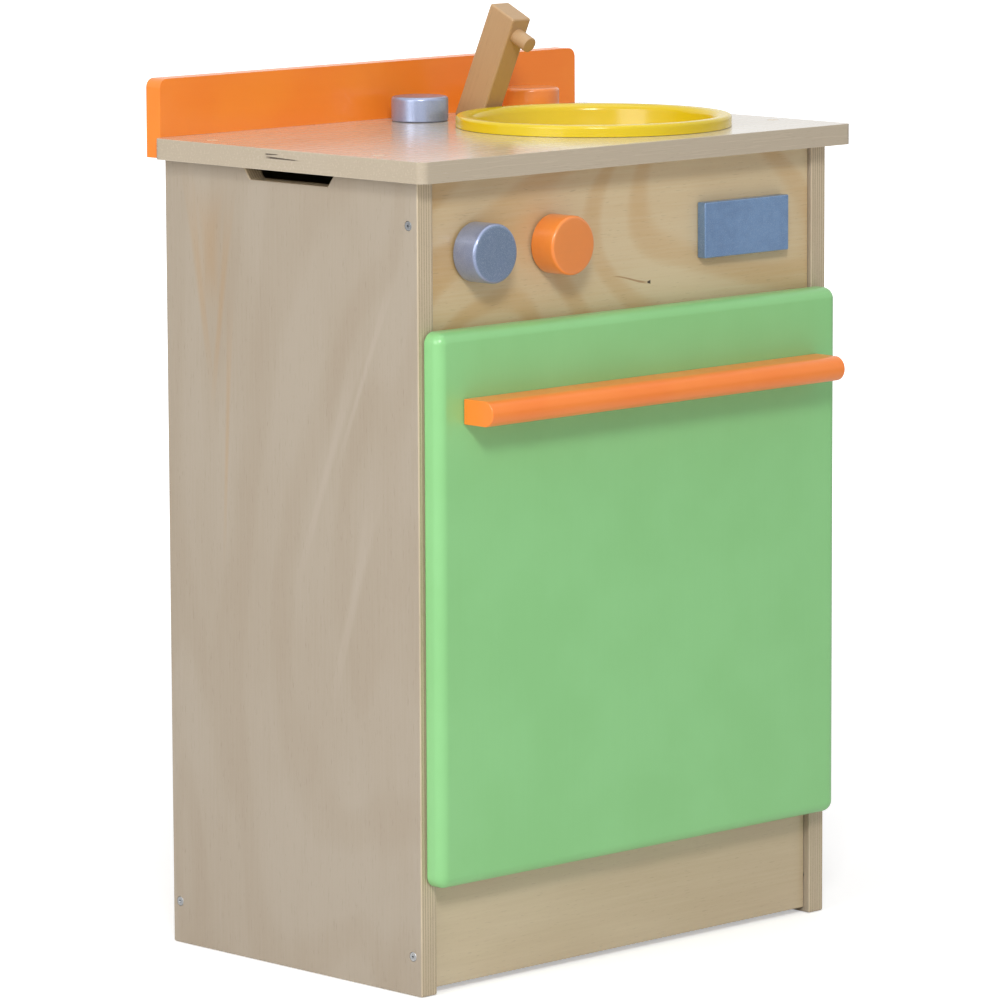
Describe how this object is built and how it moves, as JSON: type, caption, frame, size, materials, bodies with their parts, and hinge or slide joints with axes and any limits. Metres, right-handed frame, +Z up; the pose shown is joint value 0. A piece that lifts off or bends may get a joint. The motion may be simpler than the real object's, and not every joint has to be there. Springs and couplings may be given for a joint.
{
  "type": "toy sink",
  "caption": "Free-standing play sink in birch plywood with a worktop, round bowl, spout block, turning taps and dials, and a drop-down door.",
  "frame": {"origin": "on the floor, under the middle of the bounding box", "axes": "+Z up, -Y towards the door and the child, +X to the right as seen from the front"},
  "size_m": [0.516, 0.3868, 0.802],
  "materials": {
    "birch_ply": "clear lacquered birch plywood",
    "birch_plug": "clear lacquered birch plug",
    "beech": "sanded beech, lightly oiled",
    "green_lacquer": "satin green lacquer on birch plywood",
    "orange_lacquer": "satin orange lacquer on wood",
    "grey_blue_lacquer": "satin grey-blue metallic lacquer on wood",
    "yellow_plastic": "glossy moulded plastic",
    "zinc": "zinc-plated steel",
    "bright_steel": "bright rolled steel",
    "brassed_steel": "brass-plated steel",
    "white_plastic": "matt moulded plastic",
    "ferrite": "bare ferrite magnet"
  },
  "bodies": {
    "cabinet": {"side_panel_left": "birch_ply", "side_panel_right": "birch_ply", "fascia": "birch_ply", "plinth": "birch_ply", "rear_rail": "birch_ply", "cabinet_floor": "birch_ply", "back_panel": "birch_ply", "worktop": "birch_ply", "upstand": "orange_lacquer", "worktop_plug_left_front": "birch_plug", "worktop_plug_left_rear": "birch_plug", "worktop_plug_right_front": "birch_plug", "worktop_plug_right_rear": "birch_plug", "worktop_screw_left_front": "zinc", "worktop_screw_left_rear": "zinc", "worktop_screw_right_front": "zinc", "worktop_screw_right_rear": "zinc", "side_screw_left_fascia": "zinc", "side_screw_left_plinth": "zinc", "side_screw_left_rail": "zinc", "side_screw_right_fascia": "zinc", "side_screw_right_plinth": "zinc", "side_screw_right_rail": "zinc", "upstand_screw_left": "zinc", "upstand_screw_right": "zinc", "display_block": "grey_blue_lacquer", "dial_washer_left": "zinc", "dial_washer_right": "zinc", "tap_washer_left": "zinc", "tap_washer_right": "zinc", "hinge_leaf_frame_left": "brassed_steel", "hinge_leaf_frame_right": "brassed_steel", "hinge_pin_left": "brassed_steel", "hinge_pin_right": "brassed_steel", "catch_body": "white_plastic", "catch_magnet": "ferrite", "catch_pole_lower": "bright_steel", "catch_pole_upper": "bright_steel", "faucet_post": "beech", "faucet_spout": "beech"},
    "bowl": {"basin": "yellow_plastic"},
    "door": {"door_panel": "green_lacquer", "handle": "orange_lacquer", "handle_screw_left": "zinc", "handle_screw_right": "zinc", "hinge_leaf_door_left": "brassed_steel", "hinge_leaf_door_right": "brassed_steel", "strike_plate": "bright_steel"},
    "dial_left_knob": {"dial_left": "grey_blue_lacquer", "dial_left_spindle": "zinc", "dial_left_nut": "zinc"},
    "dial_right_knob": {"dial_right": "orange_lacquer", "dial_right_spindle": "zinc", "dial_right_nut": "zinc"},
    "tap_left_knob": {"tap_left": "grey_blue_lacquer", "tap_left_spindle": "zinc", "tap_left_nut": "zinc"},
    "tap_right_knob": {"tap_right": "orange_lacquer", "tap_right_spindle": "zinc", "tap_right_nut": "zinc"}
  },
  "joints": [
    {"name": "door_hinge", "type": "hinge", "parent": "cabinet", "child": "door", "pos_m": [0, -0.13965, 0.0932], "axis": [1, 0, 0], "range_deg": [0, 90]},
    {"name": "basin_tip", "type": "hinge", "parent": "cabinet", "child": "bowl", "pos_m": [0.087, 0.1091, 0.7006], "axis": [-1, 0, 0], "range_deg": [0, 30]},
    {"name": "dial_left_turn", "type": "hinge", "parent": "cabinet", "child": "dial_left_knob", "pos_m": [-0.178, -0.1367, 0.62], "axis": [0, -1, 0], "continuous": true},
    {"name": "dial_right_turn", "type": "hinge", "parent": "cabinet", "child": "dial_right_knob", "pos_m": [-0.088, -0.1367, 0.62], "axis": [0, -1, 0], "continuous": true},
    {"name": "tap_left_turn", "type": "hinge", "parent": "cabinet", "child": "tap_left_knob", "pos_m": [0.0187, 0.1366, 0.7006], "axis": [0, 0, 1], "continuous": true},
    {"name": "tap_right_turn", "type": "hinge", "parent": "cabinet", "child": "tap_right_knob", "pos_m": [0.1553, 0.1366, 0.7006], "axis": [0, 0, 1], "continuous": true}
  ]
}
